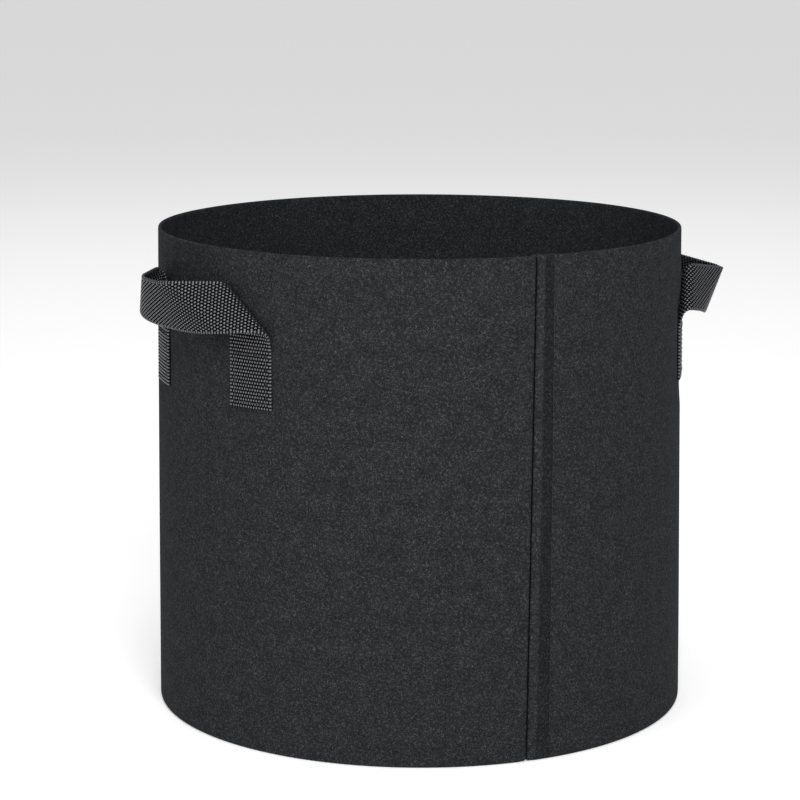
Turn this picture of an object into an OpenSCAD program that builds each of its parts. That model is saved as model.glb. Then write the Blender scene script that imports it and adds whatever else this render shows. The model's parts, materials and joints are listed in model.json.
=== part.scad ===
// Fabric grow bag: a felt wall and base sewn into a pot, with two folded webbing handles.
// Origin at the centre of the base, +Z up, the wall's join line on -Y, handles towards -X and +X.

/* [Bag] */
// Outside diameter of the wall at the rim
rim_d = 300; // [200:5:500]
// Outside diameter of the wall at the base, a little wider because a filled bag settles
base_d = 306; // [200:5:510]
// Height of the wall
bag_h = 276; // [220:2:500]
// Thickness of the felt
felt_t = 2; // [1:0.25:4]

/* [Seams] */
// Width of the two wall edges folded inside at the side seam
side_allowance_w = 18; // [16:1:30]
// Distance along the wall from the join line to the topstitch
topstitch_gap = 14; // [6:1:15]
// Width of the open join line in the outer layer
join_gap = 0.4; // [0.2:0.1:1]
// Height of the base seam's edges, which stand up inside the bag
base_allowance_h = 12; // [8:1:20]
// Height of the base seam's stitches above the floor
base_stitch_z = 8; // [4:0.5:10]
// Width of a sewn line of thread
thread_w = 0.8; // [0.4:0.1:1.2]
// How far a line of thread stands proud of the cloth
thread_proud = 0.3; // [0.1:0.1:0.5]

/* [Handles] */
// Angle round the bag from the join line to the middle of each handle
handle_angle = 78.25; // [60:0.25:110]
// Width of the webbing
webbing_w = 29; // [20:1:40]
// Thickness of the webbing
webbing_t = 1.6; // [1:0.1:2.5]
// Distance along the wall between the middles of a handle's two sewn legs
leg_spacing = 97; // [80:1:130]
// Depth of the legs' lower ends below the rim
leg_drop = 85; // [75:1:100]
// Sewn height of a leg on its middle line, up to the fold
leg_h = 45; // [40:1:60]
// Slant of the fold across the webbing
fold_skew = 41; // [35:1:48]
// Middle radius of the fold
fold_r = 5; // [3:0.5:6]
// Turn of the fold, from flat on the wall to standing out
fold_turn = 120; // [90:5:140]

/* [Left handle loop] */
// Distance of the loop's middle line from the wall
left_reach = 20; // [16:1:32]
// Outward lean of the loop's upper edge
left_lean = 18; // [0:1:28]
// Height of the loop's middle above the fold's middle
left_rise = 8; // [-4:1:14]

/* [Right handle loop] */
// Distance of the loop's middle line from the wall
right_reach = 25; // [16:1:32]
// Outward lean of the loop's upper edge
right_lean = 25; // [0:1:28]
// Height of the loop's middle above the fold's middle
right_rise = -2; // [-4:1:14]

/* [Stitching on the legs] */
// Margin between the webbing's edge and the box of stitches
stitch_margin = 3.5; // [2:0.5:6]
// Height of the box of stitches
stitch_box_h = 26; // [15:1:30]

/* [Hidden] */

$fn = 96;
felt_color = [0.19, 0.19, 0.20];
webbing_color = [0.10, 0.10, 0.11];
thread_color = [0.24, 0.24, 0.25];

leg_bottom_z = bag_h - leg_drop;
fold_z = leg_bottom_z + leg_h;
leg_half_angle = degrees_along(leg_spacing / 2, fold_z);
hinge_clearance = 9;     // open webbing between a fold and the loop
loop_steps = 28;         // stations round a loop

// Outside radius of the wall at height z
function wall_r(z) = (base_d + (rim_d - base_d) * z / bag_h) / 2;

// Angle round the bag that a length along the wall covers at height z
function degrees_along(length, z) = length / wall_r(z) * 180 / PI;

// Section of a layer of cloth lying against the wall, between two depths and two heights
module wall_layer(outer, inner, low, high)
    polygon([
        [wall_r(low) - inner, low],
        [wall_r(low) - outer, low],
        [wall_r(high) - outer, high],
        [wall_r(high) - inner, high],
    ]);

// The same layer as a patch of the wall, between two lengths along it from an angle of 0
module wall_patch(from, to, outer, inner, low, high) {
    start = degrees_along(from, fold_z);
    rotate([0, 0, start])
        rotate_extrude(angle = degrees_along(to, fold_z) - start)
            wall_layer(outer, inner, low, high);
}

// Turns a shape made towards +X to face an angle round the bag from the join line
module facing(angle)
    rotate([0, 0, angle - 90]) children();

// One rectangle of felt rolled into the wall: its ends are folded inside at the join line,
// and its lower edge is turned up inside the base seam
module wall_panel()
    color(felt_color)
        difference() {
            union() {
                rotate_extrude()
                    wall_layer(0, felt_t, 0, bag_h);
                facing(0)
                    wall_patch(-felt_t, side_allowance_w, felt_t / 2, 3 * felt_t, base_allowance_h, bag_h);
                rotate_extrude()
                    wall_layer(felt_t / 2, 2 * felt_t, 0, base_allowance_h);
            }
            facing(0)
                wall_patch(-join_gap / 2, join_gap / 2, -1, felt_t, base_allowance_h, bag_h + 1);
        }

// The flat of the round base
module base_disc()
    color(felt_color)
        rotate_extrude()
            polygon([
                [0, 0],
                [wall_r(0) - 2 * felt_t, 0],
                [wall_r(felt_t) - 2 * felt_t, felt_t],
                [0, felt_t],
            ]);

// The edge of the same round of felt, turned up inside the wall
module base_turned_up_edge()
    color(felt_color)
        rotate_extrude()
            wall_layer(2 * felt_t, 3 * felt_t, felt_t, base_allowance_h);

// The line of thread that joins the wall's two ends, seen only inside the bag
module side_seam_join_thread()
    color(thread_color)
        facing(0)
            wall_patch(0, thread_w, 3 * felt_t - thread_proud, 3 * felt_t + thread_proud,
                base_allowance_h + felt_t, bag_h);

// The line of thread that holds the folded ends flat, seen outside and inside
module side_seam_topstitch()
    color(thread_color)
        for (depth = [0, 3 * felt_t])
            facing(0)
                wall_patch(topstitch_gap - thread_w / 2, topstitch_gap + thread_w / 2,
                    depth - thread_proud, depth + thread_proud, base_allowance_h + felt_t, bag_h);

// The ring of thread through the base seam's standing edges
module base_seam_thread()
    color(thread_color)
        rotate_extrude()
            wall_layer(3 * felt_t - thread_proud, 3 * felt_t + thread_proud,
                base_stitch_z - thread_w / 2, base_stitch_z + thread_w / 2);

// Turns to the front leg (side -1) or rear leg (side 1) of a handle made towards +X
module at_leg(side)
    mirror([0, side < 0 ? 1 : 0, 0])
        rotate([0, 0, leg_half_angle])
            children();

// The roll of webbing at the top of a leg, bent about a slanted line
module fold_roll() {
    roll_w = 2 * webbing_w;
    corner_drop = webbing_w / 2 * tan(fold_skew);
    intersection() {
        translate([max(wall_r(fold_z - corner_drop), wall_r(fold_z + corner_drop)), 0, fold_z])
            rotate([-fold_skew, 0, 0])
                translate([fold_r + webbing_t / 2, 0, 0])
                    rotate([90, 0, 0])
                        rotate([0, 0, 180 - fold_turn])
                            rotate_extrude(angle = fold_turn)
                                translate([fold_r - webbing_t / 2, -roll_w / 2])
                                    square([webbing_t, roll_w]);
        translate([0, -webbing_w / 2, 0])
            cube([rim_d, webbing_w, bag_h]);
    }
}

// One sewn end of a handle: a leg lying on the wall and the fold above it
module handle_end(handle_side, leg_side) {
    top = fold_z + webbing_w;
    color(webbing_color)
        facing(handle_side * handle_angle)
            at_leg(leg_side) {
                difference() {
                    wall_patch(-webbing_w / 2, webbing_w / 2, -webbing_t, 0, leg_bottom_z, top);
                    translate([0, 0, fold_z])
                        rotate([-fold_skew, 0, 0])
                            translate([0, -webbing_w * 2, webbing_t])
                                cube([rim_d, webbing_w * 4, webbing_w * 4]);
                }
                fold_roll();
            }
}

// The box of stitches that holds a leg: an outline on the webbing and its back inside the wall
module leg_stitching(handle_side, leg_side) {
    half_w = webbing_w / 2 - stitch_margin;
    low = leg_bottom_z + stitch_margin;
    high = low + stitch_box_h;
    color(thread_color)
        facing(handle_side * handle_angle)
            at_leg(leg_side)
                for (outer = [-webbing_t - thread_proud, felt_t])
                    difference() {
                        wall_patch(-half_w, half_w, outer, outer + thread_proud, low, high);
                        wall_patch(thread_w - half_w, half_w - thread_w, outer - 1, outer + thread_proud + 1,
                            low + thread_w, high - thread_w);
                    }
}

// Point of a loop's edge: a quarter ellipse from its start [out, along, up] to its middle
function edge_point(start, middle, along) =
    let (rise = sqrt(1 - along * along))
    [
        start[0] + (middle[0] - start[0]) * rise,
        start[1] * along,
        start[2] + (middle[2] - start[2]) * rise,
    ];

// The free loop of a handle, a ruled band between its upper and lower edge
module handle_loop(handle_side, reach, lean, rise) {
    chord_r = wall_r(fold_z) * cos(leg_half_angle);
    leg_y = wall_r(fold_z) * sin(leg_half_angle);
    middle_z = fold_z + rise;
    half = webbing_w / 2 * [sin(lean), 0, cos(lean)];
    middle = [wall_r(fold_z) + reach, 0, middle_z];
    high_middle = middle + half;
    low_middle = middle - half;
    high_start = [high_middle[0] - webbing_t * 3, leg_y - webbing_w, high_middle[2] + 1];
    low_start = [chord_r + 2 * fold_r, leg_y + webbing_w / 2 - hinge_clearance, low_middle[2] + 4];
    stations = [for (i = [0:loop_steps]) sin(90 * (2 * i / loop_steps - 1))];
    rings = [
        for (a = stations)
            let (
                high = edge_point(high_start, high_middle, a),
                low = edge_point(low_start, low_middle, a),
                out = webbing_t / 2 * [cos(lean), a * sin(leg_half_angle), -sin(lean)]
            )
            each [high + out, low + out, low - out, high - out],
    ];
    sides = [
        for (i = [0:loop_steps - 1], j = [0:3])
            let (a = 4 * i + j, b = 4 * i + (j + 1) % 4)
            each [[a, b, b + 4], [a, b + 4, a + 4]],
    ];
    last = 4 * loop_steps;
    color(webbing_color)
        facing(handle_side * handle_angle)
            polyhedron(rings, concat(sides, [[3, 2, 1, 0], [last, last + 1, last + 2, last + 3]]));
}

module left_handle_front_end() handle_end(-1, 1);
module left_handle_rear_end() handle_end(-1, -1);
module left_handle_front_stitching() leg_stitching(-1, 1);
module left_handle_rear_stitching() leg_stitching(-1, -1);
module left_handle_loop() handle_loop(-1, left_reach, left_lean, left_rise);
module right_handle_front_end() handle_end(1, -1);
module right_handle_rear_end() handle_end(1, 1);
module right_handle_front_stitching() leg_stitching(1, -1);
module right_handle_rear_stitching() leg_stitching(1, 1);
module right_handle_loop() handle_loop(1, right_reach, right_lean, right_rise);

wall_panel();
base_disc();
base_turned_up_edge();
side_seam_join_thread();
side_seam_topstitch();
base_seam_thread();
left_handle_front_end();
left_handle_rear_end();
left_handle_front_stitching();
left_handle_rear_stitching();
left_handle_loop();
right_handle_front_end();
right_handle_rear_end();
right_handle_front_stitching();
right_handle_rear_stitching();
right_handle_loop();
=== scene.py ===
# %% [markdown]
# # A fabric grow bag
#
# A grow bag is a plant pot that is sewn instead of moulded. One rectangle of needle-punched
# felt is rolled into the wall, one round of the same felt makes the base, and two lengths of
# black webbing, folded over at the top of their sewn legs, make the handles.
#
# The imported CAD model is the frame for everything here: it holds the sizes and the handle
# hinges. This script only adds the looks, in metres, in the frame's own axes: +Z is up and
# the wall's join line faces -Y.

# %% Load the fixed frame
import json
import math
import bmesh
import bpy
import numpy as np
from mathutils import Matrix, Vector


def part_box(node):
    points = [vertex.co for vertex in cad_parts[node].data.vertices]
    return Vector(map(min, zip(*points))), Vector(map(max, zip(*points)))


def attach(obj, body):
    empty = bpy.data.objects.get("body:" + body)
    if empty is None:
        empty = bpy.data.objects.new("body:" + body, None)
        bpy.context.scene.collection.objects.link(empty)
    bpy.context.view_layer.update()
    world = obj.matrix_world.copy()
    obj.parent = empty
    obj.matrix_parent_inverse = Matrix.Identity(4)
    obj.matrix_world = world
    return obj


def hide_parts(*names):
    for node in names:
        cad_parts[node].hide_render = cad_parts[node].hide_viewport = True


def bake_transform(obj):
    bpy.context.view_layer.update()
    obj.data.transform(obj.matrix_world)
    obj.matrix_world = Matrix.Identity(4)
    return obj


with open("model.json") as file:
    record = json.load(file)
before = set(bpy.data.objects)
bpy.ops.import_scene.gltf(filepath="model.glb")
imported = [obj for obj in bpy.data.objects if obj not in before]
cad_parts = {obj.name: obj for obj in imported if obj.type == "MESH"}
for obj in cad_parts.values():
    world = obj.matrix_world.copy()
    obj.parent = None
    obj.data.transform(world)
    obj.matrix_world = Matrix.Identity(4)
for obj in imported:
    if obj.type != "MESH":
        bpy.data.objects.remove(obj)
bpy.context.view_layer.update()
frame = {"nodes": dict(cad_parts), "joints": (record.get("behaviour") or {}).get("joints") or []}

# %% [markdown]
# The bag's own sizes come from the frame. The wall is a cone that is a little wider at the
# foot, so its radius at any height follows from its radius at the foot and at the rim.

# %% Measure the wall
MM = 0.001
scene = bpy.context.scene


def cad_points(node):
    """All the corners of a CAD node, one row each."""
    return np.array([v.co for v in frame["nodes"][node].data.vertices])


wall_points = cad_points("wall_panel")
bag_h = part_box("wall_panel")[1].z
felt_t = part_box("base_disc")[1].z
seam_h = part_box("base_turned_up_edge")[1].z
base_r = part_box("wall_panel")[1].x
rim_r = np.hypot(*wall_points[wall_points[:, 2] > bag_h - 0.1 * MM].T[:2]).max()
print(f"wall {bag_h:.3f} high, radius {base_r:.4f} to {rim_r:.4f}, felt {felt_t:.4f} thick")


def wall_radius(z):
    """Outside radius of the wall at a height."""
    return base_r + (rim_r - base_r) * z / bag_h


def round_bag(radius, angle, z):
    """Points at a radius, at an angle from the join line and at a height."""
    return np.stack([radius * np.sin(angle), -radius * np.cos(angle), z + 0 * radius], -1)


def eased(share):
    """A share kept between 0 and 1, and eased at both ends."""
    share = np.clip(share, 0, 1)
    return share * share * (3 - 2 * share)


# %% [markdown]
# Places on the wall are given as on a flat cutting table: the length along the wall from the
# join line, positive towards +X, and the depth into the cloth. The length turns into an angle
# at the height where the handles fold, which is how the CAD model lays them out too.

# %% Turn lengths along the wall into angles
hinge = {joint["child"]: joint for joint in frame["joints"]}
fold_z = hinge["left_handle"]["pos_m"][2]
roll_r = wall_radius(fold_z)
round_length = 2 * math.pi * roll_r
print(f"once round the bag is {round_length:.4f} m")


def angle_of(x, y):
    """Angle round the bag from the join line, towards +X."""
    return np.arctan2(x, -y)


leg_stitchings = [n for n in frame["nodes"] if n.endswith("_stitching")]
leg_angles = [float(angle_of(*cad_points(n).mean(0)[:2])) for n in leg_stitchings]
leg_middle = sum(c.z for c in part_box(leg_stitchings[0])) / 2
wave_height = 0.22 * MM
leg_press = 0.9 * MM
press_reach = (19 * MM, 36 * MM)
press_fade = (8 * MM, 18 * MM)
join_lean = (-0.9 * MM, 4.0 * MM)
topstitch_lean = (-1.3 * MM, 1.1 * MM)
join_to_topstitch = (2 * MM, 14 * MM)
lean_reach = 110 * MM
lean_end = 121 * MM
steady_foot = 0.3 * bag_h


def ripple(angle, z):
    """How far the felt stands off a true cone: slow waves, and pressed in under each leg."""
    waves = np.sin(3 * angle + 0.7 + 6 * z) + 0.7 * np.sin(5 * angle - 11 * z + 2.1)
    waves = waves + 0.5 * np.sin(9 * angle + 17 * z + 4.0)
    off = wave_height * waves * np.clip(z / steady_foot, 0, 1)
    for leg_angle in leg_angles:
        aside = abs((angle - leg_angle + math.pi) % (2 * math.pi) - math.pi) * roll_r
        across = eased((press_reach[0] - aside) / press_fade[0])
        up = eased((press_reach[1] - abs(z - leg_middle)) / press_fade[1])
        off = off - leg_press * across * up
    return off


def seam_shift(along, z):
    """The seam was sewn a little off upright: how far it runs to the side at a height."""
    join, topstitch = (
        foot + (rim - foot) * z / bag_h for foot, rim in (join_lean, topstitch_lean)
    )
    place = (along + round_length / 2) % round_length - round_length / 2
    start, end = join_to_topstitch
    sewn = np.clip((place - start) / (end - start), 0, 1)
    fade = np.clip((lean_end - abs(place)) / lean_reach, 0, 1)
    return (join + (topstitch - join) * sewn) * fade


def on_wall(along, depth, z):
    """Points of the rolled wall: length along it, depth into it, and height."""
    angle = (along + seam_shift(along, z)) / roll_r
    return round_bag(wall_radius(z) - depth + ripple(angle, z), angle, z)


# %% [markdown]
# The camera stands a little above the rim and about a metre and a half away, turned towards
# the left-hand handle, with a long lens.

# %% Place the camera


def direction(azimuth, elevation):
    """A way out from the bag; azimuth 0 is -Y, and it grows towards +X."""
    return Vector((
        math.sin(azimuth) * math.cos(elevation),
        -math.cos(azimuth) * math.cos(elevation),
        math.sin(elevation),
    ))


def look_along(way):
    """The turn that makes a camera or a panel face along a direction."""
    return way.to_track_quat("-Z", "Y").to_euler()


view_azimuth = math.radians(-22.75)
view_tilt = math.radians(10.89)
view_yaw = math.radians(-0.43)
camera_reach = 10.18 * rim_r
camera_z = 3.11 * rim_r

lens_data = bpy.data.cameras.new("camera")
lens_data.lens = 120.15
lens_data.sensor_width = 36.0
camera = bpy.data.objects.new("camera", lens_data)
scene.collection.objects.link(camera)
scene.camera = camera
camera.location = camera_reach * direction(view_azimuth, 0) + Vector((0, 0, camera_z))
camera.rotation_euler = look_along(-direction(view_azimuth - view_yaw, view_tilt))
print("camera at", tuple(round(v, 3) for v in camera.location))

# %% [markdown]
# Black cloth shows its shape only by soft, wide light. The key panel hangs a little left of
# the viewer and lights the front of the wall evenly. A low panel on the left is mirrored in
# the crowns of the near handle, a weak one on the right keeps that side open, and the ones
# behind and overhead draw the rim and the tops of the webbing. The world fills the rest.

# %% Hang the lights
scene.view_settings.view_transform = "Standard"


def to_linear(hex_colour):
    """An sRGB hex colour as the linear RGBA that the shaders work in."""
    channels = [int(hex_colour[i:i + 2], 16) / 255 for i in (1, 3, 5)]
    linear = [c / 12.92 if c <= 0.04045 else ((c + 0.055) / 1.055) ** 2.4 for c in channels]
    return (*linear, 1.0)


def hang_panel(name, azimuth, elevation, reach, size, watts):
    """A square panel light that faces the middle of the bag."""
    light = bpy.data.lights.new(name, "AREA")
    light.size = size
    light.energy = watts
    panel = bpy.data.objects.new(name, light)
    scene.collection.objects.link(panel)
    way = direction(math.radians(azimuth), math.radians(elevation))
    panel.location = Vector((0, 0, bag_h / 2)) + reach * way
    panel.rotation_euler = look_along(-way)
    panel.visible_camera = False


hang_panel("key_panel", -14, 36, 2.1, 0.8, 25)
hang_panel("left_panel", -62, 14, 2.0, 0.7, 6)
hang_panel("right_panel", 70, 24, 2.4, 1.4, 1.5)
hang_panel("back_panel", 160, 45, 2.4, 1.6, 7)
hang_panel("overhead_panel", -40, 80, 1.9, 1.4, 9)

world = bpy.data.worlds.new("studio")
scene.world = world
world.use_nodes = True
background = world.node_tree.nodes["Background"].inputs
background["Color"].default_value = to_linear("#f7f7f7")
background["Strength"].default_value = 0.45

# %% [markdown]
# All the node trees here, for materials and for geometry, are written with one helper. It
# adds a node, sets its properties, and gives each input a value or the source it is linked
# from. A source is a socket, or a node when its first output is meant.

# %% One helper for every node tree


def fill_inputs(tree, node, inputs):
    """Gives a node's inputs their values, or links them from their sources."""
    for name, value in inputs.items():
        if isinstance(value, bpy.types.Node):
            value = value.outputs[0]
        if isinstance(value, bpy.types.NodeSocket):
            tree.links.new(value, node.inputs[name])
        else:
            node.inputs[name].default_value = value


def add_node(tree, kind, inputs=None, **settings):
    """Adds a node; settings are its properties, inputs its values and sources."""
    node = tree.nodes.new(kind)
    for name, value in settings.items():
        setattr(node, name, value)
    fill_inputs(tree, node, inputs or {})
    return node


def new_material(name):
    """An empty material with its shader already joined to the output."""
    material = bpy.data.materials.new(name)
    material.use_nodes = True
    tree = material.node_tree
    return material, tree, tree.nodes["Principled BSDF"]


def set_stops(ramp_node, *stops):
    """Gives a colour ramp its stops, each a place and an sRGB colour."""
    elements = ramp_node.color_ramp.elements
    first, *between, last = stops
    for element, (place, colour) in zip(elements, (first, last)):
        element.position, element.color = place, to_linear(colour)
    for place, colour in between:
        elements.new(place).color = to_linear(colour)


# %% [markdown]
# ## Needle-punched felt
#
# The felt is recycled polyester fibre, dyed black in the melt and tangled by barbed needles.
# It has no weave: the eye sees short fibres that cross at every angle, a few of them catching
# the light, over soft lumps where the batt is a little thicker. It is matt, with a faint sheen
# from the fuzz. The real fibres are about 0.03 mm thick, which is too fine to show, so they
# are drawn 0.55 mm wide and 2.2 mm long. They are laid in three directions and the brightest
# of the three shows at each spot, which is what makes them look tangled. Along the seam a
# stored value paints light and shade into the colour: a painted highlight on the ridge beside
# the ditch, and painted shade where the felt slopes down to the topstitch.

# %% Make the felt material
fibre_w = 0.55 * MM
fibre_l = 2.2 * MM
lump_size = 9 * MM
# Strength of the painted light and shade along the seam.
seam_shade_strength = 0.3


def fibre_layer(tree, cloth, degrees):
    """Noise drawn out into fibres that run in one direction across the cloth."""
    turned = add_node(tree, "ShaderNodeMapping", {
        "Vector": cloth, "Rotation": (0, 0, math.radians(degrees)),
    })
    drawn = add_node(tree, "ShaderNodeMapping", {
        "Vector": turned, "Scale": (1 / fibre_l, 1 / fibre_w, 1), "Location": (degrees, 0, 0),
    })
    return add_node(tree, "ShaderNodeTexNoise", {
        "Vector": drawn, "Scale": 1.0, "Detail": 2.0, "Roughness": 0.6, "Distortion": 0.35,
    }, noise_dimensions="2D")


def make_felt():
    material, tree, shader = new_material("needle_punched_polyester_felt")
    cloth = add_node(tree, "ShaderNodeUVMap", uv_map="cloth")
    fibres, *others = [fibre_layer(tree, cloth, degrees) for degrees in (20, 80, 140)]
    for other in others:
        fibres = add_node(tree, "ShaderNodeMath", {0: fibres, 1: other}, operation="MAXIMUM")
    lumps = add_node(tree, "ShaderNodeTexNoise", {
        "Vector": cloth, "Scale": 1 / lump_size, "Detail": 3.0, "Roughness": 0.6,
    }, noise_dimensions="2D")
    tone = add_node(tree, "ShaderNodeValToRGB", {"Fac": fibres})
    set_stops(tone, (0.46, "#1b1c1e"), (0.62, "#262729"), (0.88, "#595a5e"))
    patchy = add_node(tree, "ShaderNodeMapRange", {
        "Value": lumps, "From Min": 0.3, "From Max": 0.7, "To Min": 0.86, "To Max": 1.14,
    })
    # Painted light and shade along the seam: values above 0 paint shade on the slope, values below
    # 0 paint a highlight on the ridge.
    painted_seam_shading = add_node(tree, "ShaderNodeAttribute", attribute_name="painted_seam_shading").outputs["Fac"]
    shade = add_node(tree, "ShaderNodeMath", {
        0: painted_seam_shading, 1: -seam_shade_strength, 2: 1.0,
    }, operation="MULTIPLY_ADD")
    mottle_and_seam_shading = add_node(tree, "ShaderNodeMath", {0: patchy, 1: shade}, operation="MULTIPLY")
    felt_colour_with_seam_shading = add_node(tree, "ShaderNodeVectorMath", {0: tone, "Scale": mottle_and_seam_shading}, operation="SCALE")
    lumpy = add_node(tree, "ShaderNodeBump", {
        "Height": lumps, "Strength": 0.35, "Distance": 0.8 * MM,
    })
    fuzzy = add_node(tree, "ShaderNodeBump", {
        "Height": fibres, "Normal": lumpy, "Strength": 0.75, "Distance": 0.35 * MM,
    })
    fill_inputs(tree, shader, {
        "Base Color": felt_colour_with_seam_shading,
        "Normal": fuzzy,
        "Roughness": 0.92,
        "Specular IOR Level": 0.03,
        "Sheen Weight": 0.015,
        "Sheen Roughness": 0.55,
        "Sheen Tint": to_linear("#a8aaad"),
    })
    return material


felt = make_felt()
print("material", felt.name)

# %% [markdown]
# ## Polypropylene webbing
#
# The handles are black multifilament polypropylene, woven on a narrow loom. The filaments are
# smooth and a little waxy, so each crown of yarn holds one small highlight. The crowns
# themselves are real shape, made further down. The shader works out the same weave from each
# spot's place on the strap. Its colour paints shade into the gaps between crowns, almost black,
# and paints the crowns lighter as a painted highlight, though the yarn itself is one black. The
# shader gives only the crowns their shine, and it adds the fine filaments. Those are 0.04 mm
# in life, and are drawn 0.22 mm wide.

# %% Describe the weave once, for the shader and for the shape
filament_w = 0.22 * MM
filament_l = 12 * filament_w
strap_w = 29 * MM
pick_spacing = 1.9 * MM
crown_spacing = 1.8 * MM
crown_rise = 0.24 * MM
selvedge_w = 1.5 * MM
crown_share = 0.7
selvedge_share = 0.7


def weave_height(tree, along, across, face, sizes):
    """Height of the weave from -1 to 1, from places on the strap and the weave's sizes."""
    pick, crown, selvedge, width = sizes
    math_node = "ShaderNodeMath"

    def wave(place, spacing, half_turns):
        phase = add_node(tree, math_node, {0: place, 1: spacing}, operation="DIVIDE")
        angle = {0: phase, 1: half_turns * math.pi}
        angle = add_node(tree, math_node, angle, operation="MULTIPLY")
        return add_node(tree, math_node, {0: angle}, operation="COSINE")

    crowns = {0: wave(along, pick, 1), 1: wave(across, crown, 2)}
    crowns = add_node(tree, math_node, crowns, operation="MULTIPLY")
    crowns = add_node(tree, math_node, {0: crowns, 1: face}, operation="MULTIPLY")
    crowns = add_node(tree, math_node, {0: crowns, 1: crown_share}, operation="MULTIPLY")
    picks = wave(along, pick, 2)
    yarns = {0: picks, 1: 1 - crown_share, 2: crowns}
    yarns = add_node(tree, math_node, yarns, operation="MULTIPLY_ADD")
    flat_topped = add_node(tree, "ShaderNodeMapRange", {
        "Value": yarns, "From Min": -0.5, "From Max": 0.75, "To Min": -1.0, "To Max": 1.0,
    }, interpolation_type="SMOOTHSTEP")
    half_width = add_node(tree, math_node, {0: width, 1: 0.5}, operation="MULTIPLY")
    aside = add_node(tree, math_node, {0: across}, operation="ABSOLUTE")
    from_edge = add_node(tree, math_node, {0: half_width, 1: aside}, operation="SUBTRACT")
    selvedges = add_node(tree, math_node, {0: from_edge, 1: selvedge}, operation="DIVIDE")
    at_selvedge = add_node(tree, "ShaderNodeMapRange", {
        "Value": selvedges, "From Min": 1.0, "From Max": 0.8,
    }, interpolation_type="SMOOTHSTEP")
    bars = add_node(tree, math_node, {0: picks, 1: selvedge_share}, operation="MULTIPLY")
    return add_node(
        tree, "ShaderNodeMix", {0: at_selvedge, 2: flat_topped, 3: bars}, data_type="FLOAT"
    )


# %% Make the webbing material


def make_webbing():
    material, tree, shader = new_material("woven_polypropylene_webbing")
    strap = add_node(tree, "ShaderNodeUVMap", uv_map="cloth")
    along, across, _ = add_node(tree, "ShaderNodeSeparateXYZ", {"Vector": strap}).outputs
    face = add_node(tree, "ShaderNodeAttribute", attribute_name="face").outputs["Fac"]
    sizes = (pick_spacing, crown_spacing, selvedge_w, strap_w)
    height = weave_height(tree, along, across, face, sizes)
    crown = {0: height, 1: 0.5, 2: 0.5}
    crown = add_node(tree, "ShaderNodeMath", crown, operation="MULTIPLY_ADD")
    drawn = add_node(tree, "ShaderNodeMapping", {
        "Vector": strap, "Scale": (1 / filament_l, 1 / filament_w, 1),
    })
    filaments = add_node(tree, "ShaderNodeTexNoise", {
        "Vector": drawn, "Scale": 1.0, "Detail": 1.0,
    }, noise_dimensions="2D")
    # Painted shade and highlight: the colour follows the crown height, near black in the gaps and
    # lighter on the crowns.
    tone = add_node(tree, "ShaderNodeValToRGB", {"Fac": crown})
    set_stops(tone, (0.12, "#060607"), (0.92, "#4c4d50"))
    worn = add_node(tree, "ShaderNodeMapRange", {
        "Value": crown, "From Min": 0.3, "From Max": 0.75, "To Min": 0.85, "To Max": 0.24,
    })
    glossy = add_node(tree, "ShaderNodeMapRange", {
        "Value": crown, "From Min": 0.45, "From Max": 0.85, "To Min": 0.0, "To Max": 0.85,
    })
    crisp = add_node(tree, "ShaderNodeBump", {
        "Height": crown, "Strength": 0.5, "Distance": 0.3 * MM,
    })
    drawn_out = add_node(tree, "ShaderNodeBump", {
        "Height": filaments, "Normal": crisp, "Strength": 0.5, "Distance": 0.08 * MM,
    })
    fill_inputs(tree, shader, {
        "Base Color": tone,
        "Roughness": worn,
        "Specular IOR Level": glossy,
        "Normal": drawn_out,
        "IOR": 1.6,
    })
    return material


webbing = make_webbing()
print("material", webbing.name)

# %% [markdown]
# ## Bonded polyester thread
#
# The seams are sewn with black bonded thread: two plies twisted together under a thin resin
# coat, which makes it a little glossier than the felt. The twist is modelled in each stitch,
# so the shader needs only the fine ply lines that run along the thread.

# %% Make the thread material
ply_line = 0.12 * MM


def make_thread():
    material, tree, shader = new_material("bonded_polyester_thread")
    place = add_node(tree, "ShaderNodeTexCoord").outputs["Object"]
    plies = add_node(tree, "ShaderNodeTexNoise", {
        "Vector": place, "Scale": 1 / ply_line, "Detail": 1.0,
    })
    tone = add_node(tree, "ShaderNodeValToRGB", {"Fac": plies})
    set_stops(tone, (0.3, "#0d0d0f"), (0.7, "#222325"))
    ridged = add_node(tree, "ShaderNodeBump", {
        "Height": plies, "Strength": 0.3, "Distance": 0.05 * MM,
    })
    fill_inputs(tree, shader, {"Base Color": tone, "Normal": ridged, "Roughness": 0.55})
    return material


thread = make_thread()
print("material", thread.name)

# %% [markdown]
# ## Cloth with two faces
#
# Felt 2 mm thick shows its raw edges at the rim and inside the seams, so the wall can't be a
# single skin. Here a piece of cloth is a grid of stations on its middle layer, with a normal
# and a half thickness at each. The helper makes both faces of the kept cells and closes every
# free edge between them, so the result is one watertight sheet whatever its outline is.

# %% Turn a middle layer into a closed sheet


def new_piece(name, points, faces, material, uv=None):
    """A mesh object at the origin, smooth, with its cloth coordinates as a UV map."""
    mesh = bpy.data.meshes.new(name)
    mesh.from_pydata([tuple(p) for p in points], [], faces)
    mesh.materials.append(material)
    mesh.shade_smooth()
    if uv is not None:
        corner_points = np.zeros(len(mesh.loops), int)
        mesh.loops.foreach_get("vertex_index", corner_points)
        layer = mesh.uv_layers.new(name="cloth")
        layer.data.foreach_set("uv", np.asarray(uv)[corner_points].astype(np.float32).ravel())
    piece = bpy.data.objects.new(name, mesh)
    scene.collection.objects.link(piece)
    return piece


def store(piece, name, values):
    """Keeps one number for each point of a piece, for a node tree to read."""
    piece.data.attributes.new(name, "FLOAT", "POINT")
    piece.data.attributes[name].data.foreach_set("value", np.asarray(values, np.float32))


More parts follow.
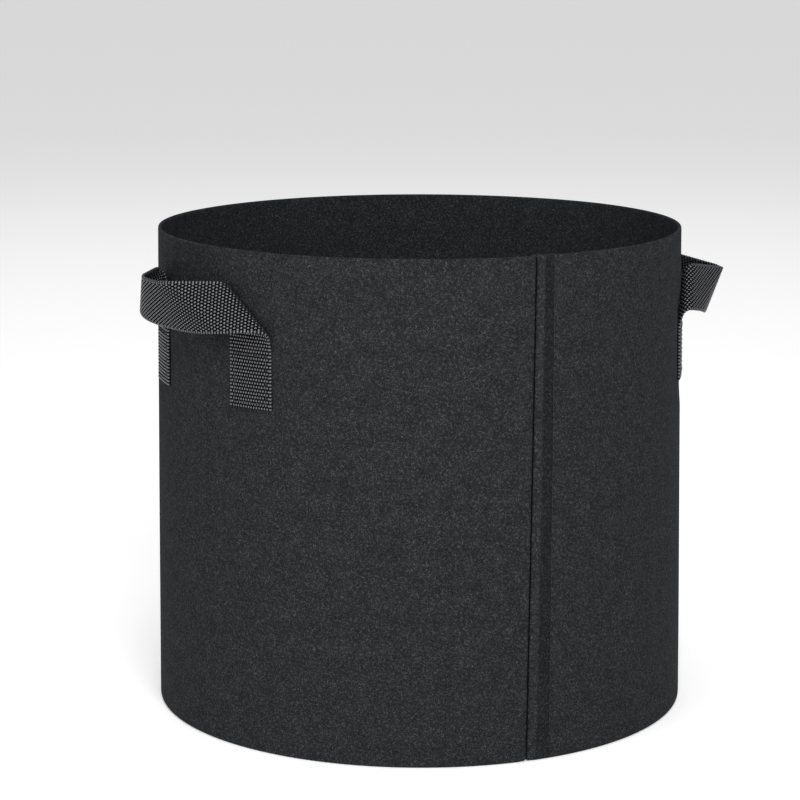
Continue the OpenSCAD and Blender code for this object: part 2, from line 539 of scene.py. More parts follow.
def sheet_faces(keep, wrap=False):
    """Both faces of the kept cells of a grid, and the strips that close their free edges."""
    rows, cols = keep.shape
    stations = cols if wrap else cols + 1
    back = (rows + 1) * stations

    def corner(i, j):
        return i * stations + j % stations

    def kept(i, j):
        if wrap:
            j %= cols
        return 0 <= i < rows and 0 <= j < cols and keep[i, j]

    faces = []
    for i, j in zip(*np.nonzero(keep)):
        a, b = corner(i, j), corner(i, j + 1)
        c, d = corner(i + 1, j + 1), corner(i + 1, j)
        faces.append((a, b, c, d))
        faces.append((back + d, back + c, back + b, back + a))
        for there, p, q in (
            ((i - 1, j), a, b), ((i, j + 1), b, c), ((i + 1, j), c, d), ((i, j - 1), d, a),
        ):
            if not kept(*there):
                faces.append((q, p, back + p, back + q))
    return faces


def tidy_shell(piece):
    """Merges doubles, drops loose edges and points and turns every face outwards."""
    shell = bmesh.new()
    shell.from_mesh(piece.data)
    bmesh.ops.remove_doubles(shell, verts=shell.verts, dist=1e-6)
    for parts, kind in ((shell.edges, "EDGES"), (shell.verts, "VERTS")):
        loose = [part for part in parts if not part.link_faces]
        bmesh.ops.delete(shell, geom=loose, context=kind)
    bmesh.ops.recalc_face_normals(shell, faces=shell.faces)
    open_edges = sum(len(e.link_faces) != 2 for e in shell.edges)
    shell.to_mesh(piece.data)
    shell.free()
    print(f"{piece.name}: {len(piece.data.polygons)} faces, {open_edges} open edges")
    return piece


# %% [markdown]
# ## The felt wall
#
# The wall is one rectangle. Rolled up, its two ends are sewn together, folded inside to the
# same side and topstitched down, which leaves a narrow ditch outside, a soft ridge beside it
# and a dented line of stitches. Its lower edge is turned up inside the base seam.
#
# So the plan of the wall is drawn as one line of stations, from the raw edge of one end, out
# through the ditch, right round the bag, back into the ditch and along the other folded end.
# Each station has its length along the wall, its depth, half the thickness there and how far
# it is lifted by the folds under it, all in millimetres. Felt is squeezed thinner in a fold.

# %% Draw the plan of the wall
layer = felt_t / MM
once_round = round_length / MM
seam_points = angle_of(*cad_points("side_seam_topstitch").T[:2])
topstitch_at = (seam_points.min() + seam_points.max()) / 2 * once_round / (2 * math.pi)
lap_w = 18.0
fold_half = 0.6
fold_r = 0.65
ditch_half = 0.35
ditch_x = ditch_half + fold_half + fold_r
squeeze_run = 3.5
inner_depth = 2.55 * layer
outer_depth = 1.52 * layer
edge_taper = {0.0: 0.7, 0.5: 0.92}


def quarter(centre, start, end, steps=5):
    """Points on a round corner of the plan; an angle of 0 is the way out of the bag."""
    turns = np.radians(np.linspace(start, end, steps))
    return [(centre[0] + fold_r * math.sin(t), centre[1] - fold_r * math.cos(t)) for t in turns]


def half_layer(x):
    """Half the felt's thickness, squeezed towards the ditch."""
    return fold_half + (layer / 2 - fold_half) * eased((abs(x) - ditch_x) / squeeze_run)


LAP_PROFILE = (
    (1.8, 2.6, 3.4, 4.4, 5.4, topstitch_at - 1, topstitch_at, topstitch_at + 1, 18, 26),
    (0.35, 0.85, 1.1, 1.1, 0.95, -0.3, -0.42, -0.2, -0.05, 0),
)


def lap_lift(x):
    """How far the outer layer stands up beside the ditch, and sinks at the topstitch."""
    return float(np.interp(x, *LAP_PROFILE))


def run_along(*coords):
    """The length run at each station of a line, from 0 at the first."""
    moves = np.hypot(*(np.diff(c.ravel()) for c in coords))
    return np.concatenate([[0], np.cumsum(moves)])


end_x = [lap_w - x for x in (0, 0.5, 1.2, 2.4)]
end_x += [topstitch_at + x for x in (0.7, 0, -0.7, -1.6)] + [10.5, 8, 5.5, 3.6, 2.2]
stations = [(x, inner_depth, edge_taper.get(lap_w - x, 1) * layer / 2, 0, True) for x in end_x]
inner_corner = quarter((-ditch_x + 2 * fold_r, inner_depth - fold_r), 180, 270)
stations += [(x, y, fold_half, 0, True) for x, y in inner_corner]
stations += [(-ditch_x + fold_r, y, fold_half, 0, True) for y in (3.4, 2.3)]
first_corner = quarter((-ditch_x, fold_half + fold_r), 90, 0)
stations += [(x, y, fold_half, 0, False) for x, y in first_corner]
round_x = [-ditch_x - x for x in (0.7, 1.5, 2.5, 3.6, 5.2)]
round_x += list(np.linspace(-10, 30 - once_round, 186))
stations += [(x, half_layer(x), half_layer(x), 0, False) for x in round_x]
lap_x = [26, 23, 21, 19.4, 18, 16.8]
lap_x += [topstitch_at + x for x in (1.9, 1.2, 0.6, 0, -0.6, -1.2, -1.9)]
lap_x += [11, 9.8, 8.6, 7.4, 6.2, 5.2, 4.3, 3.5, 2.8, 2.2, 1.8]
stations += [(x - once_round, half_layer(x), half_layer(x), lap_lift(x), False) for x in lap_x]
last_corner = quarter((ditch_x, fold_half + fold_r), 0, -180, 9)
fold_lift = lap_lift(ditch_x)
for i, (x, y) in enumerate(last_corner):
    stations.append((x - once_round, y, fold_half, fold_lift, i > 4))
for x in end_x[::-1]:
    sink = min(1, (x - ditch_x) / squeeze_run)
    depth = last_corner[-1][1] * (1 - sink) + outer_depth * sink
    taper = edge_taper.get(lap_w - x, 1) * half_layer(x)
    stations.append((x - once_round, depth, taper, fold_lift * (1 - sink), True))

plan_x, plan_depth, plan_half, plan_lift, plan_inside = (np.array(c) for c in zip(*stations))
step = np.stack([np.gradient(plan_x), np.gradient(plan_depth)])
step /= np.linalg.norm(step, axis=0)
out_x, out_depth = -step[1], step[0]
plan_run = run_along(plan_x, plan_depth)
print(f"{len(plan_x)} stations; the felt is {plan_run[-1]:.0f} mm long")

# %% [markdown]
# The other direction runs from the rim down the wall, round the fold at the foot and up the
# edge that is turned in. The rows are half a stitch apart, so that each needle hole of the
# topstitch can have its own dent. The rim is a raw cut edge, a little rounded.

# %% Draw the side of the wall
stitch_length = 3.5
foot_r = layer / 2
trim_z = seam_h / MM + 1
rim_edge = ((0, 0.72), (0.35, 0.9), (0.9, 1), (1.8, 1))
standing_edge = ((4, 1), (6, 1), (8, 1), (10, 1), (11.5, 0.9), (12, 0.7))

rows = [(bag_h / MM - z, 0.0, taper) for z, taper in rim_edge]
down = np.arange(bag_h / MM - 3, trim_z + 1, -stitch_length / 2)
rows += [(z, 0.0, 1.0) for z in down]
rows += [(z, 0.0, 1.0) for z in (trim_z, 11.4, 9.8, 8.2, 6.6, 5, 3.4)]
rows += [(2 * foot_r, turn, 0.96) for turn in np.radians(np.linspace(0, 180, 9))]
rows += [(z, math.pi, taper) for z, taper in standing_edge]
row_z, row_turn, row_taper = (np.array(c)[:, None] for c in zip(*rows))
row_shift = foot_r * (1 - np.cos(row_turn))
row_mid = row_z - foot_r * np.sin(row_turn)
row_run = run_along(row_mid, row_shift)
print(f"{len(rows)} rows; the felt is {row_run[-1]:.0f} mm wide")

# %% [markdown]
# Where the topstitch pulls the layers together the felt is dented, most of all at the holes.
# The folds under the lap lie flat again where the base seam grips them.

# %% Roll the wall
hole_pull = 0.85
hole_pull_inside = 0.45
hole_reach = 0.8
grip_z = 4
grip_fade = 14


def lap_free(z):
    """How far the lap is free of the base seam's grip at a height in millimetres."""
    return np.clip((z - grip_z) / grip_fade, 0, 1)


def pull(x):
    """The shape of the dent that the topstitch makes, at lengths beside it."""
    hole = 0.5 + 0.5 * np.cos(2 * math.pi * row_mid / stitch_length)
    return np.exp(-(x / hole_reach) ** 2) * hole * lap_open


outer_side = row_turn < 0.1
lap_open = lap_free(row_mid) * outer_side
outer_layer = (~plan_inside) & (plan_x < 0)
dent = hole_pull * pull(plan_x - topstitch_at + once_round) * outer_layer
dent_inside = hole_pull_inside * pull(plan_x - topstitch_at) * plan_inside


def wall_face(side, squeeze):
    """One face of the wall: side 1 shows outside, -1 inside."""
    half = side * (plan_half * row_taper - squeeze)
    along = plan_x + half * out_x
    depth = plan_depth - plan_lift * lap_open + row_shift + half * out_depth * np.cos(row_turn)
    height = row_mid + half * out_depth * np.sin(row_turn)
    return on_wall(along * MM, depth * MM, height * MM).reshape(-1, 3)


below = (row_mid[1:] < trim_z) | (row_turn[1:] > 0)
wall_keep = ~(below & (plan_inside[1:] | plan_inside[:-1]))
# Painted light and shade on the outer lap: a painted highlight on the ridge beside the ditch,
# painted shade where the felt slopes down to the topstitch.
seam_light_and_shade = np.interp(
    plan_x + once_round,
    (0.5, 2.6, 4.2, 5.8, topstitch_at - 0.4, topstitch_at + 0.6),
    (0, -0.45, -0.45, 1, 1, 0),
)
seam_light_and_shade = seam_light_and_shade * outer_layer * outer_side
wall_uv = np.stack(np.broadcast_arrays(plan_run * MM, -row_run[:, None] * MM), -1)
wall_uv = wall_uv.reshape(-1, 2)
felt_wall = new_piece(
    "felt_wall",
    np.vstack([wall_face(1, dent), wall_face(-1, dent_inside)]),
    sheet_faces(wall_keep),
    felt,
    np.vstack([wall_uv, wall_uv]),
)
# Keeps the painted seam light and shade for the felt shader.
store(felt_wall, "painted_seam_shading", np.tile(seam_light_and_shade.ravel(), 2))
tidy_shell(felt_wall)
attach(felt_wall, "bag")
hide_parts("wall_panel")

# %% [markdown]
# ## The felt base
#
# The base is one round of felt. Its edge is turned up all round and sewn inside the wall, so
# there is a crease at the foot and a standing edge inside, which gathers a little because it
# is bent into a smaller circle than it was cut to.

# %% Make the base
spokes = 180
gathers = 54
gather_depth = 0.25
gather_from, gather_full = 8.5, 12
edge_depth = 2.5 * layer
flat_r = base_r / MM - edge_depth - foot_r
flat_shares = (0, 0.12, 0.3, 0.5, 0.7, 0.85, 0.95, 0.99)
profile = [(flat_r * share, foot_r, 0.0, 1.0) for share in flat_shares]
for turn in np.radians(np.linspace(0, 90, 6)):
    bend_r, bend_z = flat_r + foot_r * math.sin(turn), layer - foot_r * math.cos(turn)
    profile.append((bend_r, bend_z, turn, 0.95))
for z, taper in standing_edge:
    profile.append((wall_radius(z * MM) / MM - edge_depth, z, math.pi / 2, taper))
base_mid_r, base_mid_z, base_turn, base_taper = (np.array(c)[:, None] for c in zip(*profile))
spoke = np.linspace(0, 2 * math.pi, spokes, endpoint=False)
gather = gather_depth * (1 + np.sin(gathers * spoke + 2 * np.sin(3 * spoke)))
gather = gather * np.clip((base_mid_z - gather_from) / (gather_full - gather_from), 0, 1)


def base_face(side):
    """One face of the base: side 1 is under it and outside, -1 on top and inside."""
    half = side * base_taper * layer / 2
    radius = (base_mid_r + half * np.sin(base_turn) - gather) * MM
    height = (base_mid_z - half * np.cos(base_turn)) * MM
    return round_bag(radius, spoke, height).reshape(-1, 3)


base_run = run_along(base_mid_r, base_mid_z)
base_uv = round_bag(base_run[:, None] * MM + 0 * spoke, spoke, 0)[..., :2]
felt_base = new_piece(
    "felt_base",
    np.vstack([base_face(1), base_face(-1)]),
    sheet_faces(np.ones((len(profile) - 1, spokes), bool), wrap=True),
    felt,
    np.vstack([base_uv.reshape(-1, 2)] * 2),
)
tidy_shell(felt_base)
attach(felt_base, "bag")
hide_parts("base_disc", "base_turned_up_edge")

# %% [markdown]
# ## How a strap folds
#
# A handle is one flat strap. Each end is sewn to the wall as an upright leg. Above the leg the
# strap folds over a slanted line, so that it leaves the wall sideways and stands out on edge,
# and then it bows round to the other leg.
#
# Webbing bends but does not stretch, so its shape is that of a strip of paper: at every place
# it is straight along one line, the ruling, and bends only about that line. That gives a
# simple rule to walk along the strap: turn its frame about the ruling by the bend, then step
# forward. The rulings are slanted by the fold's angle at the leg and square at the middle.
#
# Three numbers aren't free: the turn of the fold, the slant after it and the bend of the bow
# have to bring the strap level and square to the handle's middle. A few Newton steps find
# them, so the two halves always meet.

# %% Walk along half a strap
strap_t = 1.6 * MM
walk_step = 0.25 * MM
gap_scale = 40 * MM
newton_steps = 7


def turned(frame_rows, axis, angle):
    """The rows of a frame turned about an axis."""
    x, y, z = axis
    cross = np.array([[0, -z, y], [z, 0, -x], [-y, x, 0]])
    turn = np.eye(3) + math.sin(angle) * cross + (1 - math.cos(angle)) * cross @ cross
    return frame_rows @ turn.T


def walk_strap(shape, turn, lean, bend):
    """Middle line, frame and ruling slant at each step from the leg to the handle's middle."""
    slant = -math.tan(shape["slant"])
    fold_run = turn * shape["roll"] / math.cos(shape["slant"])
    total = fold_run + shape["flat"] + shape["bow"]
    count = int(round(total / walk_step))
    ds = total / count
    frame_rows = np.array([[0, 0, 1], [1, 0, 0], [0, 1, 0]], float)
    place = np.array([wall_radius(shape["fold_z"]) + strap_t / 2, 0, shape["fold_z"]])
    track = [(0.0, place, frame_rows, slant)]
    for i in range(count):
        s = (i + 0.5) * ds
        if s < fold_run:
            curl = math.cos(shape["slant"]) ** 2 / shape["roll"]
            curl *= 2 * math.sin(math.pi * s / fold_run) ** 2
            skew = slant
        elif s < fold_run + shape["flat"]:
            curl = 0
            skew = slant + (lean - slant) * (s - fold_run) / shape["flat"]
        else:
            share = (s - fold_run - shape["flat"]) / shape["bow"]
            curl = bend * (1 - share) + shape["end_bend"] * share
            skew = lean * (1 - share)
        ruling = frame_rows[2] + skew * frame_rows[0]
        size = np.linalg.norm(ruling)
        ahead = turned(frame_rows, ruling / size, curl * size * ds / 2)[0]
        place = place + ahead * ds
        frame_rows = turned(frame_rows, ruling / size, curl * size * ds)
        track.append(((i + 1) * ds, place, frame_rows, skew))
    return track


def closing_error(shape, guess, half_angle):
    """How far a half ends from the handle's middle plane, and from level and square."""
    place, frame_rows = walk_strap(shape, *guess)[-1][1:3]
    across = np.array([math.sin(half_angle), math.cos(half_angle), 0])
    out = np.array([math.cos(half_angle), -math.sin(half_angle), 0])
    return np.array([place @ across / gap_scale, frame_rows[0][2], frame_rows[0] @ out])


def close_strap(shape, half_angle):
    """The fold's turn, the slant after it and the bow's bend that make the halves meet."""
    guess = np.array([math.radians(138), -1.35, 42.0])
    nudge = np.array([1e-4, 1e-4, 1e-2])
    for _ in range(newton_steps):
        error = closing_error(shape, guess, half_angle)
        slopes = np.stack([
            (closing_error(shape, guess + nudge * row, half_angle) - error) / (nudge @ row)
            for row in np.eye(3)
        ], 1)
        guess = guess - np.linalg.solve(slopes, error)
    print(f"fold turns {math.degrees(guess[0]):.0f} degrees, error {abs(error).max():.1e}")
    return walk_strap(shape, *guess)


# %% [markdown]
# The walk gives a middle line and rulings. The cloth's own grid is rows square across the
# strap, and a square row crosses many rulings, so each column of the grid looks up where its
# rows meet the walk. The legs then settle onto the round wall. The section of the strap is a
# flat loop with round edges, in fine steps, because the weave is raised from it next.

# %% Make a strap's surface
weave_room = 0.15 * MM
body_half = strap_t / 2 - weave_room
front_columns = 70
edge_points = 5
row_step = 0.42 * MM
settle_below = 2 * MM
settle_run = 7 * MM


def strap_section():
    """The loop of stations across a strap: place across, place through, and which face."""
    edge = strap_w / 2 - body_half
    front = [(v, body_half, 1.0) for v in np.linspace(-edge, edge, front_columns)]
    turns = np.linspace(0, math.pi, edge_points + 2)[1:-1]
    lower = [(edge + body_half * math.sin(t), body_half * math.cos(t), math.cos(t)) for t in turns]
    back = [(v, -n, -f) for v, n, f in front[::-1]]
    upper = [(-v, -n, -f) for v, n, f in lower]
    return np.array(front + lower + back + upper)


def strap_half(track, half_angle, leg_run, side):
    """One half's rows of points about the handle's middle, from the leg's end to the middle."""
    run, place, rows3, skew = (np.array(c) for c in zip(*track))
    spare = leg_run + 2 * strap_w
    tail = np.arange(-spare, 0, walk_step * 4)
    place = np.vstack([place[0] + np.outer(tail, rows3[0][0]), place])
    rows3 = np.concatenate([np.repeat(rows3[:1], len(tail), 0), rows3])
    run = np.concatenate([tail, run])
    skew = np.concatenate([np.repeat(skew[:1], len(tail)), skew])
    material_rows = np.linspace(-leg_run, run[-1], int((run[-1] + leg_run) / row_step))
    points = []
    for v, through, _ in strap_section():
        met = np.maximum.accumulate(run + skew * v + 1e-9 * np.arange(len(run)))
        s = np.interp(material_rows, met, run)

        def at(values):
            return np.stack([np.interp(s, run, c) for c in values.T], -1)

        ruling = at(rows3[:, 2] + skew[:, None] * rows3[:, 0])
        spot = at(place) + v * ruling + through * at(rows3[:, 1])
        settle = eased((s + settle_below) / settle_run)
        turn = half_angle + np.arctan2(spot[:, 1], spot[:, 0])
        radius = np.hypot(spot[:, 0], spot[:, 1])
        flat_turn = half_angle + v / roll_r
        seat = wall_radius(spot[:, 2]) + ripple(side[1] + side[0] * flat_turn, spot[:, 2])
        seat = seat + strap_t / 2 + weave_room + through
        turn = settle * turn + (1 - settle) * flat_turn
        radius = settle * radius + (1 - settle) * seat
        points.append(round_bag(radius, side[1] + side[0] * turn, spot[:, 2]))
    return np.stack(points, 1), run[-1] - material_rows


def strap_faces(rows, section):
    """The skin of a strap, and its two cut ends closed column by column."""
    faces = []
    for i in range(rows - 1):
        here, above = i * section, (i + 1) * section
        for j in range(section):
            k = (j + 1) % section
            faces.append((here + j, here + k, above + k, above + j))
    back = front_columns + edge_points
    for first, flip in ((0, 1), ((rows - 1) * section, -1)):
        ends = []
        for j in range(front_columns - 1):
            other = back + front_columns - 1 - j
            ends.append((j, j + 1, other - 1, other))
        ends.append(tuple(range(front_columns - 1, back + 1)))
        ends.append((*range(back + front_columns - 1, section), 0))
        faces += [tuple(first + k for k in end)[::flip] for end in ends]
    return faces


def make_strap(handle, shape):
    """A whole strap, before it is woven: two mirrored halves of one walk."""
    ends = [n for n in frame["nodes"] if n.startswith(handle) and n.endswith("_end")]
    stitchings = [n for n in leg_stitchings if n.startswith(handle)]
    sewn_at = [angle_of(*cad_points(n).mean(0)[:2]) for n in stitchings]
    middle = sum(sewn_at) / 2
    half_angle = abs(sewn_at[0] - sewn_at[1]) / 2
    leg_run = shape["fold_z"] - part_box(ends[0])[0].z
    track = close_strap(shape, half_angle)
    first, along = strap_half(track, half_angle, leg_run, (1, middle))
    second, _ = strap_half(track, half_angle, leg_run, (-1, middle))
    points = np.concatenate([first, second[-2::-1]])
    along = np.concatenate([along, -along[-2::-1]])
    section = strap_section()
    rows = len(along)
    grid_along = np.repeat(along, len(section))
    grid_across = np.tile(section[:, 0], rows)
    piece = new_piece(
        f"{handle}_strap", points.reshape(-1, 3), strap_faces(rows, len(section)), webbing,
        np.stack([grid_along, grid_across], -1),
    )
    store(piece, "along", grid_along)
    store(piece, "across", grid_across)
    store(piece, "face", np.tile(section[:, 2], rows))
    piece["cut"] = float(along[0] - along[-1])
    print(f"{piece.name}: {piece['cut']:.4f} m of webbing")
    return tidy_shell(piece)


strap_shapes = {
    "left_handle": {
        "fold_z": 236.5 * MM,
        "slant": math.radians(41),
        "roll": 5.6 * MM,
        "flat": 10.5 * MM,
        "bow": 38.7 * MM,
        "end_bend": 1.0,
    },
    "right_handle": {
        "fold_z": 234.0 * MM,
        "slant": math.radians(37.7),
        "roll": 4.9 * MM,
        "flat": 18.0 * MM,
        "bow": 33.0 * MM,
        "end_bend": 7.0,
    },
}
straps = {handle: make_strap(handle, shape) for handle, shape in strap_shapes.items()}

# %% [markdown]
# ## Geometry Nodes for what repeats
#
# The weave and the stitches repeat hundreds of times, so each is a node tree with its sizes
# as named inputs. The result is turned into a plain mesh at once, so the finished piece
# carries no modifier.

# %% Start a geometry tree and turn its result into a mesh


def new_tree(name, sizes, material_input):
    """A geometry tree with a mesh in and out, float inputs for sizes, and a material input."""
    tree = bpy.data.node_groups.new(name, "GeometryNodeTree")
    tree.interface.new_socket("Geometry", in_out="INPUT", socket_type="NodeSocketGeometry")
    for size in sizes:
        tree.interface.new_socket(size, in_out="INPUT", socket_type="NodeSocketFloat")
    tree.interface.new_socket("Seed", in_out="INPUT", socket_type="NodeSocketInt")
    tree.interface.new_socket(material_input, in_out="INPUT", socket_type="NodeSocketMaterial")
    tree.interface.new_socket("Geometry", in_out="OUTPUT", socket_type="NodeSocketGeometry")
    return tree, add_node(tree, "NodeGroupInput").outputs


def hand_out(tree, geometry, material):
    """Realizes what a tree made, gives it the material and ends the tree."""
    realized = add_node(tree, "GeometryNodeRealizeInstances", {"Geometry": geometry})
    finished = {"Geometry": realized, "Material": material}
    finished = add_node(tree, "GeometryNodeSetMaterial", finished)
    add_node(tree, "NodeGroupOutput", {"Geometry": finished})
    print("tree", tree.name, "with", len(tree.nodes), "nodes")


def grow(piece, tree, values):
    """Runs a tree on a piece and keeps the result as the piece's own plain mesh."""
    modifier = piece.modifiers.new(tree.name, "NODES")
    modifier.node_group = tree
    for item in tree.interface.items_tree:
        if item.in_out == "INPUT" and item.name in values:
            modifier[item.identifier] = values[item.name]
    depsgraph = bpy.context.evaluated_depsgraph_get()
    mesh = bpy.data.meshes.new_from_object(
        piece.evaluated_get(depsgraph), preserve_all_data_layers=True, depsgraph=depsgraph
    )
    piece.modifiers.remove(modifier)
    piece.data = mesh
    print(f"{piece.name}: {len(mesh.polygons)} faces after {tree.name}")
    return piece


# %% [markdown]
# ## Weaving the webbing
#
# In this webbing each warp yarn rides over one pick and under the next, and its neighbour does
# the opposite. So the crowns stand in rows, and each row is shifted by half a crown. That is
# the product of one wave along the strap and one across it, and where a yarn is up on the
# front it is down on the back. A weaker wave at the picks' own spacing rounds the crowns, and
# the sum is flattened at its top, as pressed yarn is. At the selvedges the picks turn round,
# which shows as a ladder of short bars.

# %% Build the weave tree
weave_sizes = ["Pick spacing", "Crown spacing", "Selvedge width", "Strap width"]
weave, weave_in = new_tree("plain_weave", weave_sizes + ["Crown rise"], "Webbing")
places = [
    add_node(weave, "GeometryNodeInputNamedAttribute", {"Name": name}, data_type="FLOAT")
    for name in ("along", "across", "face")
]
height = weave_height(weave, *places, [weave_in[n] for n in weave_sizes])
rise = {0: height, 1: weave_in["Crown rise"]}
rise = add_node(weave, "ShaderNodeMath", rise, operation="MULTIPLY")
normal = add_node(weave, "GeometryNodeInputNormal")
lift = add_node(weave, "ShaderNodeVectorMath", {0: normal, "Scale": rise}, operation="SCALE")
raised = {"Geometry": weave_in["Geometry"], "Offset": lift}
raised = add_node(weave, "GeometryNodeSetPosition", raised)
hand_out(weave, raised, weave_in["Webbing"])

# %% Weave both straps
for strap in straps.values():
    grow(strap, weave, {
        "Pick spacing": pick_spacing,
        "Crown spacing": crown_spacing,
        "Crown rise": crown_rise,
        "Selvedge width": selvedge_w,
        "Strap width": strap_w,
        "Webbing": webbing,
    })

# %% [markdown]
# The strap crosses its handle's hinge. Each strap is baked where it is, with no parent, and the
# CAD parts it stands for are hidden.

for handle, strap in straps.items():
    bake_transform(strap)
    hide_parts(*[f"{handle}_{n}" for n in ("front_end", "rear_end", "loop")])

# %% [markdown]
# ## Stitches
#
# A lockstitch shows as a row of short slanting threads that dive into the cloth at each needle
# hole. The tree walks along a path, sets one stitch at each step with its feet in the cloth
# and its back up, and turns each a little, as the twist of real thread does. The thread is
# two plies: an oval section that turns as it goes.

# %% Build the stitch tree
stitch_sizes = ["Stitch length", "Gap", "Thread width", "Rise", "Sink", "Twists", "Wobble"]
lockstitch, stitch_in = new_tree("lockstitch", stitch_sizes, "Thread")

path = add_node(lockstitch, "GeometryNodeMeshToCurve", {"Mesh": stitch_in["Geometry"]})
spots = add_node(lockstitch, "GeometryNodeCurveToPoints", {
    "Curve": path, "Length": stitch_in["Stitch length"],
}, mode="LENGTH")
outward = add_node(
    lockstitch, "GeometryNodeInputNamedAttribute", {"Name": "outward"},
    data_type="FLOAT_VECTOR",
)
along_path = add_node(lockstitch, "FunctionNodeAlignRotationToVector", {
    "Vector": spots.outputs["Tangent"],
}, axis="X")
back_up = add_node(lockstitch, "FunctionNodeAlignRotationToVector", {
    "Rotation": along_path, "Vector": outward,
}, axis="Z", pivot_axis="X")
other_way = {0: stitch_in["Wobble"], 1: -1}
swing = add_node(lockstitch, "FunctionNodeRandomValue", {
    "Min": add_node(lockstitch, "ShaderNodeMath", other_way, operation="MULTIPLY"),
    "Max": stitch_in["Wobble"],
    "Seed": stitch_in["Seed"],
}, data_type="FLOAT").outputs[1]
turn_by = add_node(lockstitch, "FunctionNodeAxisAngleToRotation", {
    "Axis": (0, 0, 1), "Angle": swing,
})
set_rotation = add_node(lockstitch, "FunctionNodeRotateRotation", {
    "Rotation": back_up, "Rotate By": turn_by,
}, rotation_space="LOCAL")


def point_on_stitch(length_share, height_socket, height_share):
    """A point in the stitch's own upright plane."""
    span = {0: stitch_in["Stitch length"], 1: stitch_in["Gap"]}
    span = add_node(lockstitch, "ShaderNodeMath", span, operation="SUBTRACT")
    along, height = (
        add_node(lockstitch, "ShaderNodeMath", {0: size, 1: share}, operation="MULTIPLY")
        for size, share in ((span, length_share), (height_socket, height_share))
    )
    return add_node(lockstitch, "ShaderNodeCombineXYZ", {"X": along, "Z": height})


one_stitch = add_node(lockstitch, "GeometryNodeCurveQuadraticBezier", {
    "Resolution": 9,
    "Start": point_on_stitch(-0.5, stitch_in["Sink"], -1.0),
    "Middle": point_on_stitch(0.0, stitch_in["Rise"], 2.0),
    "End": point_on_stitch(0.5, stitch_in["Sink"], -1.0),
})
done = add_node(lockstitch, "GeometryNodeSplineParameter").outputs["Factor"]
turns = {0: done, 1: stitch_in["Twists"]}
turns = add_node(lockstitch, "ShaderNodeMath", turns, operation="MULTIPLY")
twist = {0: turns, 1: 2 * math.pi}
twist = add_node(lockstitch, "ShaderNodeMath", twist, operation="MULTIPLY")
twisted = {"Curve": one_stitch, "Tilt": twist}
twisted = add_node(lockstitch, "GeometryNodeSetCurveTilt", twisted)
thread_r = {0: stitch_in["Thread width"], 1: 0.5}
thread_r = add_node(lockstitch, "ShaderNodeMath", thread_r, operation="MULTIPLY")
ring = {"Resolution": 8, "Radius": thread_r}
ring = add_node(lockstitch, "GeometryNodeCurvePrimitiveCircle", ring)
two_ply = {"Geometry": ring, "Scale": (1.0, 0.6, 1.0)}
two_ply = add_node(lockstitch, "GeometryNodeTransform", two_ply)
body = {"Curve": twisted, "Profile Curve": two_ply, "Fill Caps": True}
body = add_node(lockstitch, "GeometryNodeCurveToMesh", body)
smooth = add_node(lockstitch, "GeometryNodeSetShadeSmooth", {"Geometry": body})
sewn = {"Points": spots, "Instance": smooth, "Rotation": set_rotation}
sewn = add_node(lockstitch, "GeometryNodeInstanceOnPoints", sewn)
hand_out(lockstitch, sewn, stitch_in["Thread"])

# %% [markdown]
# A path for the tree is a line of points on the cloth, each with the way out of the cloth.
# One piece may hold several lines, such as the same seam seen outside and inside.

# %% Sew along paths
stitch_values = {
    "Stitch length": stitch_length * MM,
    "Gap": 0.35 * MM,
    "Thread width": 0.8 * MM,
    "Rise": 0.28 * MM,
    "Sink": 0.35 * MM,
    "Twists": 1.25,
    "Wobble": math.radians(5),
    "Seed": 7,
    "Thread": thread,
}


def sew(name, node, lines, **changes):
    """Stitches along lines of (points, way out) that stand for one CAD thread node."""
    points, outs, edges = [], [], []
    for line, out, closed in lines:
        start = len(points)
        points += list(line)
        outs += list(out)
        edges += [(start + i, start + i + 1) for i in range(len(line) - 1)]
        if closed:
            edges.append((start + len(line) - 1, start))
    mesh = bpy.data.meshes.new(name)
    mesh.from_pydata([tuple(p) for p in points], edges, [])
    mesh.attributes.new("outward", "FLOAT_VECTOR", "POINT")
    mesh.attributes["outward"].data.foreach_set("vector", np.array(outs, np.float32).ravel())
    piece = bpy.data.objects.new(name, mesh)
    scene.collection.objects.link(piece)
    grow(piece, lockstitch, {**stitch_values, **changes})
    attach(piece, "bag")
    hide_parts(node)


def way_out_at(points, side):
    """At points on the wall, the way out of the cloth; side -1 shows inside the bag."""
    out = points * np.array([1, 1, 0]) * side
    return out / np.linalg.norm(out, axis=1)[:, None]


def seam_line(along, depth, side=1):
    """An upright line of stitches, at a length along the wall and a depth."""
    points = on_wall(along + 0 * seam_heights, depth, seam_heights)
    return points, way_out_at(points, side), False


seam_top = bag_h - 1.5 * MM
seam_foot = trim_z * MM + 2 * MM
seam_heights = np.linspace(seam_foot, seam_top, 160)
thread_bite = 0.3 * MM
thread_bite_inside = 0.35 * MM
join_row_at = 1.6 * MM
topstitch_lift = lap_lift(topstitch_at) * lap_free(seam_heights / MM) * MM
outside_depth = thread_bite - topstitch_lift
inside_depth = (inner_depth + layer / 2) * MM - thread_bite_inside
sew("side_seam_topstitches", "side_seam_topstitch", [
    seam_line(topstitch_at * MM, outside_depth),
    seam_line(topstitch_at * MM, inside_depth, side=-1),
])
sew("side_seam_join_stitches", "side_seam_join_thread", [
    seam_line(join_row_at, inside_depth + 0.2 * MM, side=-1),
], Seed=11)

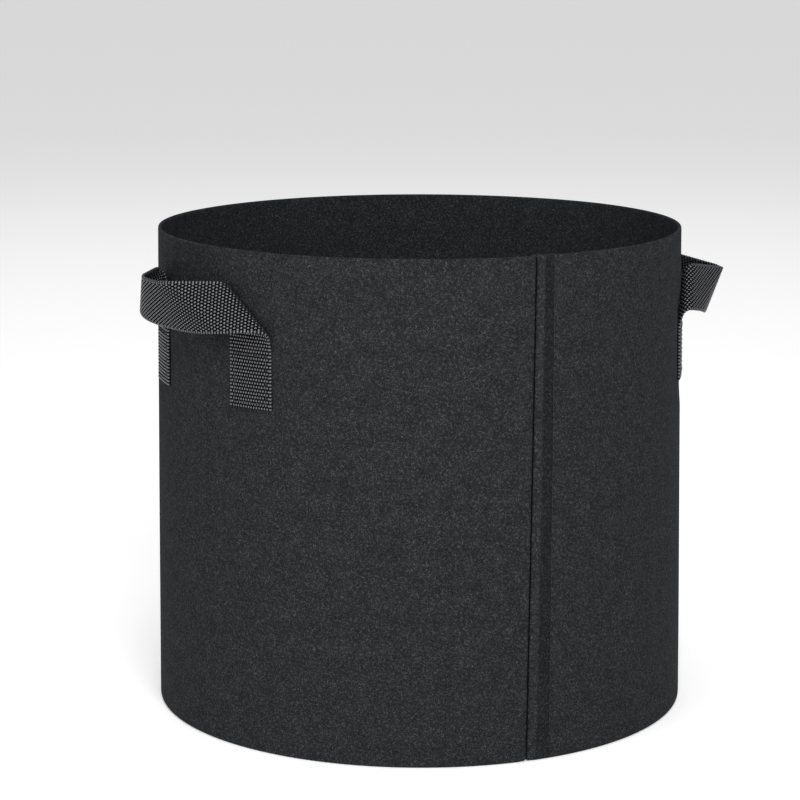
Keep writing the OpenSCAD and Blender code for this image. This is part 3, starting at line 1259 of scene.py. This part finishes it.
base_seam_z = sum(c.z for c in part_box("base_seam_thread")) / 2
seam_angles = np.linspace(0, 2 * math.pi, 240, endpoint=False)
seam_layers = 3
seam_ring = wall_radius(base_seam_z) - seam_layers * felt_t + 0.15 * MM
ring_way = round_bag(1 + 0 * seam_angles, seam_angles, 0)
ring_points = ring_way * seam_ring + np.array([0, 0, base_seam_z])
sew("base_seam_stitches", "base_seam_thread", [(ring_points, -ring_way, True)], Seed=13)

# %% [markdown]
# Each leg is held by a box of stitches through the webbing and the wall. The machine sews
# shorter stitches here, and they sink between the crowns of the weave.

# %% Sew the legs


def box_line(angle_span, low, high, depth, side):
    """A box of stitches on a leg, or its back inside the wall."""
    left, right = angle_span
    width = (right - left) * roll_r
    sides = [
        (np.linspace(left, right, int(width / MM)), low),
        (right, np.linspace(low, high, int((high - low) / MM))),
        (np.linspace(right, left, int(width / MM)), high),
        (left, np.linspace(high, low, int((high - low) / MM))),
    ]
    along, height = (np.concatenate(c) for c in zip(*[
        np.broadcast_arrays(angle * roll_r, z) for angle, z in sides
    ]))
    keep = np.hypot(np.diff(along, append=along[0]), np.diff(height, append=height[0])) > 1e-6
    points = on_wall(along[keep], depth, height[keep])
    return points, way_out_at(points, side), True


leg_stitch_values = {"Stitch length": 2.6 * MM, "Thread width": 0.7 * MM, "Seed": 17}
webbing_face = -(strap_t + weave_room)
for handle in straps:
    for leg in ("front", "rear"):
        node = f"{handle}_{leg}_stitching"
        low, high = (c.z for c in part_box(node))
        angles = angle_of(*cad_points(node).T[:2])
        span = (angles.min(), angles.max())
        sew(f"{handle}_{leg}_stitches", node, [
            box_line(span, low, high, webbing_face, 1),
            box_line(span, low, high, felt_t + 0.05 * MM, -1),
        ], **leg_stitch_values)

# %% [markdown]
# ## The floor
#
# A plain pale floor catches the bag's soft shadow. It isn't part of the object.

# %% Lay the floor
floor_half = 15.0
floor_paint, _, floor_shader = new_material("matt_white_floor")
fill_inputs(None, floor_shader, {
    "Base Color": to_linear("#f4f4f4"),
    "Roughness": 0.9,
    "Emission Color": to_linear("#ffffff"),
    "Emission Strength": 0.3,
})
corners = [(-1, -1), (1, -1), (1, 1), (-1, 1)]
floor = new_piece(
    "floor",
    [(floor_half * x, floor_half * y, 0) for x, y in corners],
    [(0, 1, 2, 3)],
    floor_paint,
)
